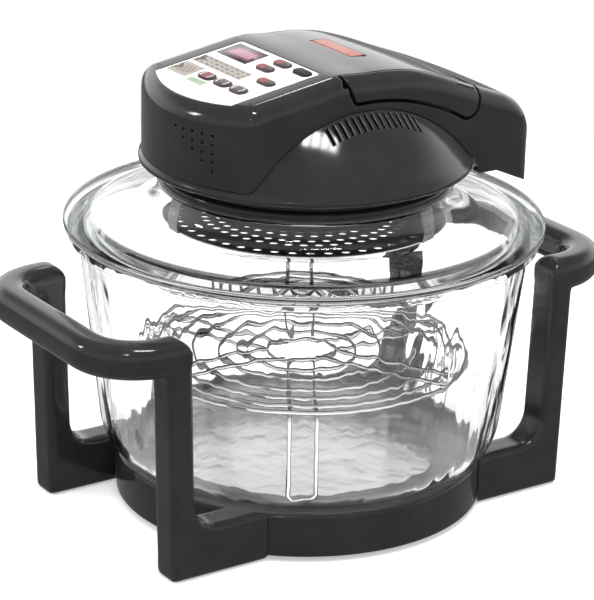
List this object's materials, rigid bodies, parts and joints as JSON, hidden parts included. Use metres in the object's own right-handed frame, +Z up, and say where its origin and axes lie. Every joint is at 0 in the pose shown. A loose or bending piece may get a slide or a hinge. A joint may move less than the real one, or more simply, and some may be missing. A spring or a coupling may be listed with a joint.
{
  "type": "halogen oven",
  "caption": "Countertop halogen oven: round glass bowl in a ring stand with side handle frames, wire rack, and a glass lid that carries a heater, fan and keypad head.",
  "frame": {"origin": "on the worktop under the middle of the bowl", "axes": "+Z up; -Y towards the control panel and the front handle frame, +Y towards the tail of the head"},
  "size_m": [0.336, 0.431, 0.3226],
  "materials": {
    "black_gloss": "glossy black moulded plastic",
    "rubber": "matt black rubber",
    "clear_glass": "clear tempered glass, polished",
    "rack_chrome": "bright chrome-plated wire",
    "sheet_steel": "bright pressed sheet steel",
    "guard_black": "black baked enamel on pressed steel",
    "screw_steel": "bright zinc-plated steel",
    "quartz": "warm-tinted quartz",
    "ceramic": "unglazed white ceramic",
    "fan_alloy": "pressed aluminium",
    "panel_face": "printed off-white film, satin",
    "window_red": "dark red tinted window, gloss",
    "badge_red": "muted red plate with a light border",
    "key_plastic": "dark moulded plastic, satin",
    "key_red": "muted red moulded plastic, satin",
    "board_green": "green circuit board laminate",
    "switch_plastic": "dark grey moulded plastic"
  },
  "bodies": {
    "stand": {"base_ring": "black_gloss", "foot_1": "rubber", "foot_2": "rubber", "foot_3": "rubber", "foot_4": "rubber", "front_handle_frame": "black_gloss", "rear_handle_frame": "black_gloss", "frame_screw_1": "screw_steel", "frame_screw_2": "screw_steel", "frame_screw_3": "screw_steel", "frame_screw_4": "screw_steel"},
    "bowl": {"glass_bowl": "clear_glass"},
    "rack": {"wire_rack": "rack_chrome"},
    "lid": {"glass_lid": "clear_glass", "lid_collar": "black_gloss", "motor_plate": "sheet_steel", "reflector_plate": "sheet_steel", "heater_guard": "guard_black", "guard_bracket_1": "sheet_steel", "guard_bracket_2": "sheet_steel", "guard_bracket_3": "sheet_steel", "halogen_tube": "quartz", "tube_holder_1": "ceramic", "tube_holder_2": "ceramic", "fan_motor": "sheet_steel", "head_lower_shell": "black_gloss", "head_top_cover": "black_gloss", "tail_plate": "black_gloss", "cord_bushing": "rubber", "keypad_plate": "panel_face", "display_window": "window_red", "badge_plate": "badge_red", "control_board": "board_green", "safety_switch": "switch_plastic", "handle_pin_right": "screw_steel", "handle_pin_left": "screw_steel"},
    "fan": {"motor_shaft": "sheet_steel", "circulation_fan": "fan_alloy", "cooling_fan": "fan_alloy"},
    "handle": {"carry_handle": "black_gloss"},
    "key_start": {"key_start": "key_plastic"},
    "key_power": {"key_power": "key_plastic"},
    "key_timer": {"key_timer": "key_red"},
    "key_stop": {"key_stop": "key_red"},
    "key_menu": {"key_menu": "key_plastic"},
    "key_down": {"key_down": "key_plastic"},
    "key_up": {"key_up": "key_plastic"}
  },
  "joints": [
    {"name": "bowl_lift", "type": "slide", "parent": "stand", "child": "bowl", "axis": [0, 0, 1], "range_m": [0, 0.18]},
    {"name": "rack_lift", "type": "slide", "parent": "bowl", "child": "rack", "axis": [0, 0, 1], "range_m": [0, 0.06]},
    {"name": "lid_lift", "type": "slide", "parent": "bowl", "child": "lid", "axis": [0, 0, 1], "range_m": [0, 0.15]},
    {"name": "fan_spin", "type": "hinge", "parent": "lid", "child": "fan", "pos_m": [0, 0, 0.241], "axis": [0, 0, 1], "continuous": true},
    {"name": "handle_fold", "type": "hinge", "parent": "lid", "child": "handle", "pos_m": [0, -0.004, 0.3135], "axis": [1, 0, 0], "range_deg": [0, 80]},
    {"name": "key_start_press", "type": "slide", "parent": "lid", "child": "key_start", "axis": [0, 0.1644, -0.9864], "range_m": [0, 0.0008], "stiffness_N_per_m": 300, "springref_m": -0.0003},
    {"name": "key_power_press", "type": "slide", "parent": "lid", "child": "key_power", "axis": [0, 0.1644, -0.9864], "range_m": [0, 0.0008], "stiffness_N_per_m": 300, "springref_m": -0.0003},
    {"name": "key_timer_press", "type": "slide", "parent": "lid", "child": "key_timer", "axis": [0, 0.1644, -0.9864], "range_m": [0, 0.0008], "stiffness_N_per_m": 300, "springref_m": -0.0003},
    {"name": "key_stop_press", "type": "slide", "parent": "lid", "child": "key_stop", "axis": [0, 0.1644, -0.9864], "range_m": [0, 0.0008], "stiffness_N_per_m": 300, "springref_m": -0.0003},
    {"name": "key_menu_press", "type": "slide", "parent": "lid", "child": "key_menu", "axis": [0, 0.1644, -0.9864], "range_m": [0, 0.0008], "stiffness_N_per_m": 300, "springref_m": -0.0003},
    {"name": "key_down_press", "type": "slide", "parent": "lid", "child": "key_down", "axis": [0, 0.1644, -0.9864], "range_m": [0, 0.0008], "stiffness_N_per_m": 300, "springref_m": -0.0003},
    {"name": "key_up_press", "type": "slide", "parent": "lid", "child": "key_up", "axis": [0, 0.1644, -0.9864], "range_m": [0, 0.0008], "stiffness_N_per_m": 300, "springref_m": -0.0003}
  ]
}
